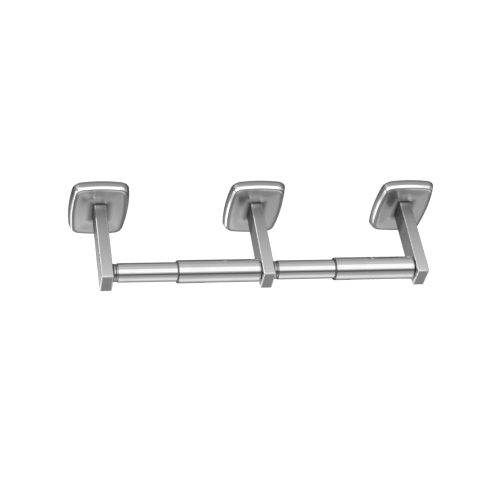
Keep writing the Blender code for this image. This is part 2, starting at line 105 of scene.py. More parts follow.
# How finely the pieces are made
SIDE_STEPS = 10
CORNER_STEPS = 12
TOP_STEPS = 8
WALL_STEPS = 4
RIM_STEPS = 7
FACE_RINGS = 15
POST_EDGE_STEPS = 5
SOCKET_EDGE = 0.00015
ROUND_STEPS = 4
TURN_STEPS = 128
HOLE_STEPS = 48
COIL_STEPS = 32
WIRE_STEPS = 12
SMOOTH_ANGLE = math.radians(32)
# Points this close are one, and a point this close to a circle lies on it
MERGE = 0.000005
RING_MATCH = 10 * MERGE
# The circle that becomes a profile's first point, and how far a cutter goes past a surface
START_SIZE = 0.0001
CUTTER_OVERRUN = 0.0010
# A face looks along an axis where its normal's share of that axis is above this
SQUARE_ON = 0.99

# Rounded edges, polished and painted bright as highlight on the satin steel and painted dark as
# shade on the chrome: the curvature from which they begin to be, and that from which they wholly
# are, in 1 / metre
RIM_CURVATURE = (150.0, 380.0)
# Painted shade on a post, darkest at its foot: how much on top at the foot, how much more in the
# corner there and how far out, from where to where it thins out on the sides, and the cuts across
# the post that carry it
TOP_SHADE_SHARE = 0.68
CORNER_SHADE_SHARE = 0.15
CORNER_SHADE_END = 0.0055
SIDE_SHADE_START = 0.0160
SIDE_SHADE_END = 0.0300
SHADE_CUTS = 12
# How far shade is painted on the flange from a post's foot, as a painted shadow in the seam, and
# from the wall
FOOT_SPREAD = 0.0075
SEAM_SHADOW = 0.0018
WALL_SHADE = 0.0026
# A dark line of painted shade along the face's edge, below the top: how far from the rim's depth
# it lies at most, how high it reaches, over what height it fades, and how much
EDGE_LINE_DEPTH = 0.00006
EDGE_LINE_TOP = 0.0290
EDGE_LINE_FADE = 0.0050
EDGE_LINE_SHARE = 0.85
# The rounded edge is polished and painted bright as highlight where it is turned less than this
# away from the flange's sides, and left darker beyond it as painted shade
HIGHLIGHT_TURN = math.radians(60)
# Where a highlight is painted on the swell above a post: start, peak and end, then centre and half
# width
SWELL_HIGHLIGHT_START = 0.0008
SWELL_HIGHLIGHT_PEAK = 0.0040
SWELL_HIGHLIGHT_END = 0.0155
SWELL_HIGHLIGHT_CENTRE = -0.0020
SWELL_HIGHLIGHT_WIDTH = 0.0078
# A highlight painted along the face's top edge: how far from the rim's depth it lies at most,
# where it starts, over what height it grows, and how much
TOP_HIGHLIGHT_DEPTH = 0.00003
TOP_HIGHLIGHT_START = 0.0220
TOP_HIGHLIGHT_FADE = 0.0050
TOP_HIGHLIGHT_SHARE = 0.55

# The photograph's point of view, for a square picture
CAMERA_PLACE = (-0.28367, -0.77256, 0.94740)
CAMERA_TURN = tuple(math.radians(angle) for angle in (38.0982, -9.6967, -8.5973))
CAMERA_LENS = 99.08
CAMERA_SENSOR = 36.0
CAMERA_NEAR = 0.05


# Modelling by hand

def deselect_all():
    bpy.ops.object.select_all(action="DESELECT")


def take(piece):
    """Make a piece the only selected one."""
    deselect_all()
    piece.select_set(True)
    bpy.context.view_layer.objects.active = piece


def open_piece(piece):
    take(piece)
    bpy.ops.object.mode_set(mode="EDIT")
    bpy.ops.mesh.select_all(action="DESELECT")


def close_piece():
    bpy.ops.object.mode_set(mode="OBJECT")


def pick(kind, test):
    """Select the vertices, edges or faces that pass a test, in the piece that is open."""
    bpy.ops.mesh.select_mode(type=kind)
    bpy.ops.mesh.select_all(action="DESELECT")
    data = bpy.context.edit_object.data
    mesh = bmesh.from_edit_mesh(data)
    elements = {"VERT": mesh.verts, "EDGE": mesh.edges, "FACE": mesh.faces}[kind]
    for element in elements:
        if test(element):
            element.select_set(True)
    mesh.select_flush_mode()
    bmesh.update_edit_mesh(data)


def settle():
    """Put the piece's place, turn and size into its mesh."""
    bpy.ops.object.transform_apply(location=True, rotation=True, scale=True)


def apply_modifier(piece, kind, **settings):
    take(piece)
    modifier = piece.modifiers.new(kind.lower(), kind)
    for name, value in settings.items():
        setattr(modifier, name, value)
    bpy.ops.object.modifier_apply(modifier=modifier.name)


def clean_surface():
    """Merge doubled points of the open piece and turn its faces outwards."""
    bpy.ops.mesh.select_all(action="SELECT")
    bpy.ops.mesh.remove_doubles(threshold=MERGE)
    bpy.ops.mesh.normals_make_consistent(inside=False)


def shade(piece):
    """Smooth shading that keeps flat faces flat and sharp edges sharp."""
    take(piece)
    bpy.ops.object.shade_smooth_by_angle(angle=SMOOTH_ANGLE)
    apply_modifier(piece, "WEIGHTED_NORMAL", keep_sharp=True)


def start_point(name, place):
    """A piece of a single point, open and with its point selected."""
    deselect_all()
    bpy.ops.mesh.primitive_circle_add(vertices=3, radius=START_SIZE, location=place)
    piece = bpy.context.object
    piece.name = name
    settle()
    bpy.ops.object.mode_set(mode="EDIT")
    bpy.ops.mesh.select_all(action="SELECT")
    bpy.ops.mesh.merge(type="CENTER")
    bpy.ops.mesh.select_mode(type="VERT")
    bpy.ops.mesh.select_all(action="SELECT")
    return piece


def drill(piece, start, end, radius, steps=HOLE_STEPS):
    """Cut a round hole between two points out of a piece."""
    start, end = Vector(start), Vector(end)
    deselect_all()
    turn = (end - start).to_track_quat("Z", "Y").to_euler()
    bpy.ops.mesh.primitive_cylinder_add(
        vertices=steps,
        radius=radius,
        depth=(end - start).length,
        location=(start + end) / 2,
        rotation=turn,
    )
    cutter = bpy.context.object
    settle()
    apply_modifier(piece, "BOOLEAN", operation="DIFFERENCE", solver="EXACT", object=cutter)
    bpy.data.objects.remove(cutter)


def copy_piece(piece, name, shift):
    """A copy with its own mesh, moved along the rollers."""
    twin = piece.copy()
    twin.data = piece.data.copy()
    twin.name = name
    bpy.context.scene.collection.objects.link(twin)
    take(twin)
    twin.location.x = shift
    settle()
    return twin


# Masks written on the pieces as attributes from 0 to 1: "rim" on faces, at rounded edges, polished
# and painted bright as highlight on satin steel and painted dark as shade on chrome, and "foot" on
# points, where shade and shadow are painted dark

def note_rims(piece):
    """Write how far each face belongs to a rounded outer edge."""
    mesh = bmesh.new()
    mesh.from_mesh(piece.data)
    low, high = RIM_CURVATURE
    shares = []
    for face in mesh.faces:
        turning = 0.0
        for edge in face.edges:
            if len(edge.link_faces) == 2:
                turning += edge.calc_face_angle_signed(0.0) * edge.calc_length() / 2
        curvature = turning / max(face.calc_area(), MERGE**2)
        shares.append(min(max((curvature - low) / (high - low), 0.0), 1.0))
    mesh.free()
    rim = piece.data.attributes.new("rim", "FLOAT", "FACE")
    rim.data.foreach_set("value", shares)


def smooth_step(share):
    share = min(max(share, 0.0), 1.0)
    return (1 - math.cos(math.pi * share)) / 2


def note_foot(piece, closeness):
    """Write how much shade is painted on each point, which is darkest where post and flange meet.
    """
    foot = piece.data.attributes.new("foot", "FLOAT", "POINT")
    foot.data.foreach_set("value", [closeness(vert.co) for vert in piece.data.vertices])


def foot_on_post(point, x):
    """Painted shade: dark on the sides at the foot, lighter on top and fading to none at the tip.
    """
    along = -point.y - POST_ROOT
    on_side = smooth_step((abs(point.x - x) - POST_WIDTH / 2) / POST_EDGE + 1)
    fade = smooth_step((SIDE_SHADE_END - along) / (SIDE_SHADE_END - SIDE_SHADE_START))
    in_corner = CORNER_SHADE_SHARE * smooth_step(1 - along / CORNER_SHADE_END)
    on_top = TOP_SHADE_SHARE * (1 - along / (POST_REACH - POST_ROOT))
    return max(on_side * fade, in_corner + on_top)


def edge_line(point):
    """How much shade is painted as a dark line along the edge of the face."""
    on_ring = smooth_step(1 - abs(FLANGE_DEPTH + point.y) / EDGE_LINE_DEPTH)
    return EDGE_LINE_SHARE * on_ring * smooth_step((EDGE_LINE_TOP - point.z) / EDGE_LINE_FADE)


def foot_on_flange(point):
    """Painted shade: strongest at the post's sides, as a painted shadow in the seam, and at the
    wall.
    """
    beside = max(abs(point.x) - POST_WIDTH / 2, 0.0)
    above = max(abs(point.z) - POST_HEIGHT / 2, 0.0)
    away = max(math.hypot(beside, above), MERGE)
    at_post = smooth_step(1 - away / FOOT_SPREAD) * beside / away
    in_seam = smooth_step(1 - away / SEAM_SHADOW)
    at_wall = smooth_step(1 + point.y / WALL_SHADE)
    return max(at_post, in_seam, at_wall, edge_line(point))


def swell_highlight(point):
    """How much highlight is painted on the swell above the post."""
    above = point.z - POST_HEIGHT / 2
    rise = smooth_step((above - SWELL_HIGHLIGHT_START) / (SWELL_HIGHLIGHT_PEAK - SWELL_HIGHLIGHT_START))
    fall = smooth_step((SWELL_HIGHLIGHT_END - above) / (SWELL_HIGHLIGHT_END - SWELL_HIGHLIGHT_PEAK))
    return rise * fall * smooth_step(1 - abs(point.x - SWELL_HIGHLIGHT_CENTRE) / SWELL_HIGHLIGHT_WIDTH)


def top_highlight(point):
    """How much highlight is painted on the face along its top edge."""
    on_ring = float(-point.y > FLANGE_DEPTH - TOP_HIGHLIGHT_DEPTH)
    return TOP_HIGHLIGHT_SHARE * on_ring * smooth_step((point.z - TOP_HIGHLIGHT_START) / TOP_HIGHLIGHT_FADE)


def highlight_flange(flange):
    """Paint highlights, as polish, on a flange's outer edge, band, swell above the post and face's
    top edge, and leave the inner rounded edge darker as painted shade.
    """
    rims = flange.data.attributes["rim"].data
    wall, band = -math.sin(FLANGE_DRAFT), -math.sin(BAND_DRAFT)
    lowest, highest = 2 * band - wall, (wall + band) / 2
    for face in flange.data.polygons:
        on_band = float(lowest < face.normal.y < highest)
        # Painted highlights: the band, the swell above the post and the face's top edge
        bright = max(on_band, swell_highlight(face.center), top_highlight(face.center))
        at_key_hole = face.center.z < 0 and abs(face.center.x) < 2 * SET_SCREW_RADIUS
        on_edge = face.normal.y > -math.sin(HIGHLIGHT_TURN)
        if on_edge and face.center.y < -WALL_SHADE and not at_key_hole:
            bright = max(bright, rims[face.index].value)
        rims[face.index].value = bright


def clear_foot_highlight(post):
    """Clear the rim mask, polish and painted highlight, from the ends of the flat sides at the
    foot, where shade is painted.
    """
    rims = post.data.attributes["rim"].data
    for face in post.data.polygons:
        at_foot = face.center.y > -POST_ROOT - SIDE_SHADE_END / SHADE_CUTS
        if at_foot and max(abs(face.normal.x), abs(face.normal.z)) > SQUARE_ON:
            rims[face.index].value = 0.0


# The flange, pressed from sheet

def trace_outline(name, half_width, half_height, bulge, corner, y):
    """A loop with four flat-arc sides and round corners, swept from one point."""
    side = (half_height**2 + bulge**2) / (2 * bulge)
    top = (half_width**2 + bulge**2) / (2 * bulge)
    side_centre = Vector((half_width - side, 0))
    top_centre = Vector((0, half_height - top))
    apart = top_centre - side_centre
    reach = ((side - corner) ** 2 - (top - corner) ** 2 + apart.length_squared) / (2 * apart.length)
    rise = math.sqrt((side - corner) ** 2 - reach**2)
    along = apart.normalized()
    across = Vector((-along.y, along.x))
    corner_centre = side_centre + along * reach + across * rise
    side_end = math.atan2(*reversed(corner_centre - side_centre))
    top_start = math.atan2(*reversed(corner_centre - top_centre))
    piece = start_point(name, (half_width, y, 0))
    for centre, angle, steps in (
        (side_centre, side_end, SIDE_STEPS),
        (corner_centre, top_start - side_end, CORNER_STEPS),
        (top_centre, math.pi / 2 - top_start, TOP_STEPS),
    ):
        place = (centre.x, y, centre.y)
        bpy.ops.mesh.spin(steps=steps, angle=angle, center=place, axis=(0, 1, 0))
    close_piece()
    apply_modifier(piece, "MIRROR", use_axis=(True, False, True), merge_threshold=MERGE)
    return piece


def flange_steps():
    """How far each ring of the wall and the rim goes in and out, from the ring before."""
    edge_centre = FLANGE_DEPTH - FLANGE_EDGE
    lean, rise = math.sin(BAND_DRAFT), math.cos(BAND_DRAFT)
    band_foot = edge_centre + FLANGE_EDGE * lean - FLANGE_BAND * rise
    wall_inset = band_foot * math.tan(FLANGE_DRAFT)
    rim_inset = wall_inset + FLANGE_BAND * lean + FLANGE_EDGE * rise
    rings = []
    for k in range(WALL_STEPS + 1):
        rings.append((wall_inset * k / WALL_STEPS, band_foot * k / WALL_STEPS))
    for k in range(RIM_STEPS + 1):
        angle = BAND_DRAFT + (math.pi / 2 - BAND_DRAFT) * k / RIM_STEPS
        inset = rim_inset - FLANGE_EDGE * math.cos(angle)
        rings.append((inset, edge_centre + FLANGE_EDGE * math.sin(angle)))
    return [(b[0] - a[0], b[1] - a[1]) for a, b in zip(rings, rings[1:])]


def face_depth(share):
    """Depth of the face, from 0 at the rim to 1 at the post's seat."""
    depth = FLANGE_DEPTH - FACE_DISH * smooth_step(share / DISH_SHARE)
    return depth + FACE_SWELL * smooth_step((share - DISH_SHARE) / (1 - DISH_SHARE))


def on_open_front(edge):
    """Whether an edge of the flange is open and in its front half."""
    return len(edge.link_faces) < 2 and edge.verts[0].co.y < -SEAT_DEPTH / 2


def raise_wall(flange):
    """Fill the outline, and inset it step by step into the wall and the rim."""
    open_piece(flange)
    bpy.ops.mesh.select_all(action="SELECT")
    bpy.ops.mesh.edge_face_add()
    bpy.ops.mesh.select_mode(type="FACE")
    bpy.ops.mesh.select_all(action="SELECT")
    if bmesh.from_edit_mesh(flange.data).faces[:][0].normal.y > 0:
        bpy.ops.mesh.flip_normals()
    for inward, outward in flange_steps():
        bpy.ops.mesh.inset(thickness=inward, depth=outward)
    bpy.ops.mesh.delete(type="ONLY_FACE")
    close_piece()


def dish_face(flange):
    """Span the face between the rim and the post's seat, and dish it ring by ring."""
    seat = trace_outline(
        "flange_seat",
        POST_WIDTH / 2 + SEAT_MARGIN,
        POST_HEIGHT / 2 + SEAT_MARGIN,
        SEAT_BULGE,
        SEAT_CORNER,
        -SEAT_DEPTH,
    )
    take(flange)
    seat.select_set(True)
    bpy.ops.object.join()
    open_piece(flange)
    pick("EDGE", on_open_front)
    bpy.ops.mesh.bridge_edge_loops(number_cuts=FACE_RINGS, interpolation="LINEAR")
    mesh = bmesh.from_edit_mesh(flange.data)
    rings = []
    for k in range(1, FACE_RINGS + 1):
        share = k / (FACE_RINGS + 1)
        flat = FLANGE_DEPTH + (SEAT_DEPTH - FLANGE_DEPTH) * share
        ring = {v.index for v in mesh.verts if abs(v.co.y + flat) < MERGE}
        rings.append((ring, flat - face_depth(share)))
    for ring, back in rings:
        pick("VERT", lambda vert: vert.index in ring)
        bpy.ops.transform.translate(value=(0, back, 0))
    pick("EDGE", on_open_front)
    bpy.ops.mesh.edge_face_add()
    clean_surface()
    close_piece()


def drill_flange(flange):
    """Cut the two holes for the post's screws and the one for the set screw."""
    for side in (-1, 1):
        z = side * POST_SCREW_SPACING / 2
        back, front = (0, -SEAT_DEPTH / 2, z), (0, -POST_REACH, z)
        drill(flange, back, front, POST_SCREW_RADIUS + CLEARANCE)
    half_height = FLANGE_HEIGHT / 2
    key_top = (0, -SET_SCREW_DEPTH, -half_height + FLANGE_SHEET + FLANGE_DEPTH / 2)
    key_bottom = (0, -SET_SCREW_DEPTH, -half_height - CUTTER_OVERRUN)
    drill(flange, key_top, key_bottom, SET_SCREW_RADIUS + CLEARANCE)


def press_flange():
    """The flange of the middle station."""
    half_width, half_height = FLANGE_WIDTH / 2, FLANGE_HEIGHT / 2
    flange = trace_outline(
        "flange_blank", half_width, half_height, FLANGE_BULGE, FLANGE_CORNER, 0.0
    )
    raise_wall(flange)
    dish_face(flange)
    apply_modifier(flange, "SOLIDIFY", thickness=FLANGE_SHEET, offset=-1.0, use_even_offset=True)
    open_piece(flange)
    pick("VERT", lambda vert: vert.co.y > -MERGE)
    bpy.ops.transform.resize(value=(1, 0, 1), center_override=(0, 0, 0))
    close_piece()
    drill_flange(flange)
    shade(flange)
    note_rims(flange)
    note_foot(flange, foot_on_flange)
    highlight_flange(flange)
    return flange


# The posts

def on_circle(point, x, radius):
    """Whether a point lies on the circle of that radius round the rollers' axis."""
    spoke = math.hypot(point.y + ROLLER_REACH, point.z)
    return abs(point.x - x) < MERGE and abs(spoke - radius) < RING_MATCH


def cut_post(name, x, sides):
    """A bar with softened edges, bored for the pins of the rollers beside it."""
    deselect_all()
    length = POST_REACH - POST_ROOT
    bpy.ops.mesh.primitive_cube_add(
        size=1.0,
        location=(x, -POST_ROOT - length / 2, 0),
        scale=(POST_WIDTH, length, POST_HEIGHT),
    )
    post = bpy.context.object
    post.name = name
    settle()
    open_piece(post)
    pick("EDGE", lambda edge: any(v.co.y < -POST_ROOT - MERGE for v in edge.verts))
    bpy.ops.mesh.bevel(offset=POST_EDGE, segments=POST_EDGE_STEPS, profile=0.5, affect="EDGES")
    for k in range(SHADE_CUTS):
        bpy.ops.mesh.select_all(action="SELECT")
        cut = -POST_ROOT - SIDE_SHADE_END * (k + 1) / SHADE_CUTS
        bpy.ops.mesh.bisect(plane_co=(0, cut, 0), plane_no=(0, 1, 0))
    close_piece()
    socket = PIN_RADIUS + CLEARANCE
    for side in sides:
        floor = x + side * (POST_WIDTH / 2 - PIN_DEPTH - CLEARANCE)
        mouth = x + side * (POST_WIDTH / 2 + CUTTER_OVERRUN)
        drill(post, (floor, -ROLLER_REACH, 0), (mouth, -ROLLER_REACH, 0), socket)
    for side in (-1, 1):
        z = side * POST_SCREW_SPACING / 2
        drill(post, (x, 0, z), (x, -POST_SCREW_DEPTH, z), POST_SCREW_RADIUS + CLEARANCE)
    open_piece(post)
    for side in sides:
        face = x + side * POST_WIDTH / 2
        pick("EDGE", lambda edge: all(on_circle(v.co, face, socket) for v in edge.verts))
        bpy.ops.mesh.bevel(offset=SOCKET_EDGE, segments=2, affect="EDGES")
    close_piece()
    shade(post)
    note_rims(post)
    clear_foot_highlight(post)
    note_foot(post, lambda point: foot_on_post(point, x))
    return post


# The rollers. The left one is turned, and the right one is its copy.

LEFT_FACE = -POST_PITCH + POST_WIDTH / 2
RIGHT_FACE = -POST_WIDTH / 2


def turn_piece(name, points, rounds, closed=False):
    """Draw a profile of (x, radius) points, round some of its corners, and spin it."""
    first_x, first_radius = points[0]
    piece = start_point(name, (first_x, -ROLLER_REACH, first_radius))
    path = points + points[:1] if closed else points
    for (x, radius), (next_x, next_radius) in zip(path, path[1:]):
        step = (next_x - x, 0, next_radius - radius)
        bpy.ops.mesh.extrude_vertices_move(TRANSFORM_OT_translate={"value": step})
    bpy.ops.mesh.select_all(action="SELECT")
    bpy.ops.mesh.remove_doubles(threshold=MERGE)
    for corner, radius in rounds:
        x, height = points[corner]
        spot = Vector((x, -ROLLER_REACH, height))
        pick("VERT", lambda vert: (vert.co - spot).length < MERGE)
        bpy.ops.mesh.bevel(offset=radius, segments=ROUND_STEPS, affect="VERTICES")
    bpy.ops.mesh.select_all(action="SELECT")
    centre = (0, -ROLLER_REACH, 0)
    bpy.ops.mesh.spin(steps=TURN_STEPS, angle=math.tau, center=centre, axis=(1, 0, 0))
    clean_surface()
    close_piece()
    shade(piece)
    note_rims(piece)
    return piece


def turn_thick_tube():
    """Tube with a mouth that is turned in to guide the thin tube."""
    mouth = LEFT_FACE + MOUTH_GAP
    end = RIGHT_FACE - THICK_GAP
    guide = THIN_RADIUS + CLEARANCE
    points = [
        (mouth, guide),
        (mouth, THICK_RADIUS),
        (end, THICK_RADIUS),
        (end, THICK_BORE),
        (mouth + TUBE_WALL, THICK_BORE),
        (mouth + TUBE_WALL, guide),
    ]
    small = TUBE_EDGE / 4
    rounds = ((0, small), (1, MOUTH_EDGE), (2, TUBE_EDGE), (3, small))
    return turn_piece("thick_tube_left", points, rounds, closed=True)


def turn_thin_tube():
    """Tube with an inner end that is turned out to run in the thick tube's bore."""
    end = LEFT_FACE + MOUTH_GAP + TUBE_OVERLAP
    start = LEFT_FACE + THIN_GAP
    collar = THICK_BORE - CLEARANCE
    points = [
        (end, THIN_BORE),
        (end, collar),
        (end - TUBE_WALL, collar),
        (end - TUBE_WALL, THIN_RADIUS),
        (start, THIN_RADIUS),
        (start, THIN_BORE),
    ]
    small = TUBE_EDGE / 4
    rounds = ((1, small), (2, small), (4, TUBE_EDGE), (5, small))
    return turn_piece("thin_tube_left", points, rounds, closed=True)


def turn_plug(name, face, way, bore, tube_gap):
    """End plug: a spigot in the tube, a collar outside it and a pin in the post."""
    spigot = bore - CLEARANCE
    shoulder = tube_gap - PLUG_SHOULDER
    heights = (
        (tube_gap + PLUG_LENGTH, 0),
        (tube_gap + PLUG_LENGTH, spigot),
        (shoulder, spigot),
        (shoulder, COLLAR_RADIUS),
        (CLEARANCE, COLLAR_RADIUS),
        (CLEARANCE, PIN_RADIUS),
        (-PIN_DEPTH, PIN_RADIUS),
        (-PIN_DEPTH, 0),
    )
    points = [(face + way * height, radius) for height, radius in heights]
    collar_round = min(COLLAR_ROUND, (shoulder - CLEARANCE) / 2)
    rounds = [(1, SPIGOT_ROUND), (4, collar_round), (6, PIN_ROUND)]
    if COLLAR_RADIUS > spigot:
        rounds.append((3, collar_round))
    return turn_piece(name, points, rounds)


def wind_run(x, radius, curls, pitch):
    """One run of the spring's wire, wound towards the right from x."""
    deselect_all()
    bpy.ops.mesh.primitive_circle_add(
        vertices=WIRE_STEPS,
        radius=SPRING_WIRE / 2,
        location=(x, -ROLLER_REACH, radius),
        rotation=(math.pi / 2, 0, 0),
    )
    run = bpy.context.object
    bpy.context.scene.cursor.location = (x, -ROLLER_REACH, 0)
    bpy.ops.object.origin_set(type="ORIGIN_CURSOR")
    bpy.ops.object.transform_apply(location=False, rotation=True, scale=True)
    apply_modifier(
        run,
        "SCREW",
        axis="X",
        steps=COIL_STEPS,
        render_steps=COIL_STEPS,
        screw_offset=pitch,
        iterations=curls,
    )
    settle()
    return run


def wind_coil():
    """The spring, from three runs of wire: close, open and close."""
    start = LEFT_FACE + MOUTH_GAP + TUBE_OVERLAP + CLEARANCE
    end = RIGHT_FACE - THICK_GAP - PLUG_LENGTH - CLEARANCE
    radius = (THIN_BORE + THICK_BORE - CLEARANCE) / 2
    length = end - start - SPRING_WIRE
    open_curls = SPRING_CURLS - 2
    open_pitch = (length - 2 * SPRING_END_PITCH) / open_curls
    runs = ((1, SPRING_END_PITCH), (open_curls, open_pitch), (1, SPRING_END_PITCH))
    x = start + SPRING_WIRE / 2
    coil = None
    for curls, pitch in runs:
        run = wind_run(x, radius, curls, pitch)
        x += curls * pitch
        if coil:
            take(coil)
            run.select_set(True)
            bpy.ops.object.join()
        else:
            coil = run
            coil.name = "coil_left"
    bpy.context.scene.cursor.location = (0, 0, 0)
    open_piece(coil)
    bpy.ops.mesh.select_all(action="SELECT")
    bpy.ops.mesh.remove_doubles(threshold=MERGE)
    pick("EDGE", lambda edge: len(edge.link_faces) == 1 and edge.verts[0].co.x < (start + end) / 2)
    bpy.ops.mesh.edge_face_add()
    pick("EDGE", lambda edge: len(edge.link_faces) == 1)
    bpy.ops.mesh.edge_face_add()
    bpy.ops.mesh.select_all(action="SELECT")
    bpy.ops.mesh.normals_make_consistent(inside=False)
    close_piece()
    take(coil)
    bpy.ops.object.shade_smooth_by_angle(angle=SMOOTH_ANGLE)
    return coil


def turn_roller():
    """The left roller's pieces, each with the half that it moves with."""
    thick_tube = turn_thick_tube()
    thin_tube = turn_thin_tube()
    thick_plug = turn_plug("thick_plug_left", RIGHT_FACE, -1, THICK_BORE, THICK_GAP)
    thin_plug = turn_plug("thin_plug_left", LEFT_FACE, 1, THIN_BORE, THIN_GAP)
    return (
        ("thick_tube", "thick_half", thick_tube),
        ("thin_tube", "thin_half", thin_tube),
        ("thick_end_plug", "thick_half", thick_plug),
        ("thin_end_plug", "thin_half", thin_plug),
        ("spring", "thick_half", wind_coil()),
    )


# Finishes

# How much of the drawn grain is coarse, and how far a scratch wanders
COARSE_GRAIN = 0.45
SCRATCH_WANDER = 0.02
# Satin steel: how much wiping roughens it, its roughness where shade is painted at the foot, and
# the colour and roughness of polish, whose colour is painted bright as highlight
WIPED_ROUGHER = 0.06
FOOT_ROUGHNESS = 0.45
POLISH_AND_HIGHLIGHT_COLOUR = (0.90, 0.90, 0.90)
POLISHED_ROUGHNESS = 0.18
# Bright plating: its colour and roughness where it is clean, smudged, and at the rims, where it is
# painted dark as shade, and in a scratch
CLEAN_PLATING = ((0.84, 0.84, 0.85), 0.07)
SMUDGED_PLATING = ((0.80, 0.80, 0.80), 0.12)
RIM_SHADE_PLATING = ((0.10, 0.10, 0.10), 0.30)
SCRATCH_ROUGHNESS = 0.12
# Zinc plating and blackening: how much duller some crystals are, and how much finer the grit is
DULLER_CRYSTALS = 0.12
GRIT_FINENESS = 9
# Depth and strength of what is drawn, scratched or roughened into the metals
GRAIN_BUMP = (0.000012, 0.35)
SCRATCH_BUMP = (-0.000006, 0.3)
HAIRLINE_BUMP = (-0.000003, 0.03)
GRIT_BUMP = (0.00002, 0.4)
# A mix node's own places for two colours that go in and the one that comes out
MIX_COLOURS_IN = slice(6, 8)
MIX_COLOUR_OUT = 2
# Satin steel by piece, one steel in lit and shaded copies: the posts are painted light, and their
# ends and the flanges dark, as light and shade. Lines of grain a metre along each axis, of which
# the fewest lie along the grain, then dark, light and painted shade colour for the foot, and
# roughness
SATIN_FINISHES = {
    "satin_flange": (
        (9000.0, 9000.0, 260.0),
        (0.38, 0.38, 0.385),
        (0.46, 0.46, 0.465),
        (0.13, 0.13, 0.13),
        0.28,
    ),
    "satin_post": (
        (9000.0, 260.0, 9000.0),
        (0.84, 0.84, 0.845),
        (0.94, 0.94, 0.945),
        (0.14, 0.14, 0.14),
        0.25,
    ),
    "satin_post_end": (
        (260.0, 9000.0, 9000.0),
        (0.27, 0.27, 0.275),
        (0.33, 0.33, 0.335),
        (0.20, 0.20, 0.20),
        0.30,
    ),
}
# Plated and blackened steel: dark and light crystals, roughness, and crystals a metre
PLATED_FINISHES = {
    "zinc_plate": ((0.50, 0.51, 0.53), (0.66, 0.67, 0.69), 0.34, 420.0),
    "blackened_screw": ((0.07, 0.07, 0.075), (0.13, 0.13, 0.14), 0.38, 900.0),
    "spring_wire": ((0.34, 0.34, 0.35), (0.46, 0.46, 0.47), 0.30, 700.0),
}


def feed(socket, value):
    """Give an input socket a value, or link another node's output to it."""
    if isinstance(value, bpy.types.NodeSocket):
        socket.id_data.links.new(value, socket)
    else:
        socket.default_value = value


def place_node(tree, kind, settings=(), **values):
    """Add a node with its settings and what its input sockets are fed."""
    node = tree.nodes.new(kind)
    for name, value in dict(settings).items():
        setattr(node, name, value)
    for name, value in values.items():
        feed(node.inputs[name.replace("_", " ").title()], value)
    return node


def object_place(tree):
    """The place on the object that is being shaded."""
    return tree.nodes.new("ShaderNodeTexCoord").outputs["Object"]


def calculate(tree, operation, first, second, kind="ShaderNodeMath", **settings):
    """The result of an operation on two values or sockets."""
    node = place_node(tree, kind, {"operation": operation, **settings})
    feed(node.inputs[0], first)
    feed(node.inputs[1], second)
    return node.outputs[0]


def map_range(tree, value, start, end, low=0.0, high=1.0, shape="LINEAR"):
    """Take a value between start and end to one between low and high."""
    ends = {"from_min": start, "from_max": end, "to_min": low, "to_max": high}
    node = place_node(
        tree, "ShaderNodeMapRange", {"interpolation_type": shape}, value=value, **ends
    )
    return node.outputs["Result"]


def blend_colours(tree, mask, low, high):
    """A colour between two, by a mask."""
    mix = place_node(tree, "ShaderNodeMix", {"data_type": "RGBA"}, factor=mask)
    for socket, colour in zip(mix.inputs[MIX_COLOURS_IN], (low, high)):
        feed(socket, (*colour, 1.0) if isinstance(colour, tuple) else colour)
    return mix.outputs[MIX_COLOUR_OUT]


def blend_values(tree, mask, low, high):
    """A value between two, by a mask."""
    mix = place_node(tree, "ShaderNodeMix", {"data_type": "FLOAT"}, factor=mask, a=low, b=high)
    return mix.outputs[0]


def new_group(name, inputs, outputs):
    """A node group with float or vector inputs and float outputs."""
    group = bpy.data.node_groups.new(name, "ShaderNodeTree")
    for label, kind, value in inputs:
        socket = group.interface.new_socket(name=label, in_out="INPUT", socket_type=kind)
        socket.default_value = value
    for label in outputs:
        group.interface.new_socket(name=label, in_out="OUTPUT", socket_type="NodeSocketFloat")
    given = group.nodes.new("NodeGroupInput").outputs
    result = group.nodes.new("NodeGroupOutput").inputs
    return group, given, result


def brushed_grain_group():
    """Fine drawn lines, close across and long along."""
    group, given, result = new_group(
        "brushed_grain",
        (("Lines", "NodeSocketVector", (9000.0, 9000.0, 250.0)),),
        ("Height", "Tone"),
    )
    stretched = calculate(
        group, "MULTIPLY", object_place(group), given["Lines"], "ShaderNodeVectorMath"
    )
    noise = "ShaderNodeTexNoise"
    fine = place_node(group, noise, vector=stretched, scale=1.0, detail=2.0, roughness=0.6)
    coarse = place_node(group, noise, vector=stretched, scale=0.16, detail=3.0, roughness=0.65)
    height = blend_values(group, COARSE_GRAIN, fine.outputs["Fac"], coarse.outputs["Fac"])
    feed(result["Height"], height)
    feed(result["Tone"], coarse.outputs["Fac"])


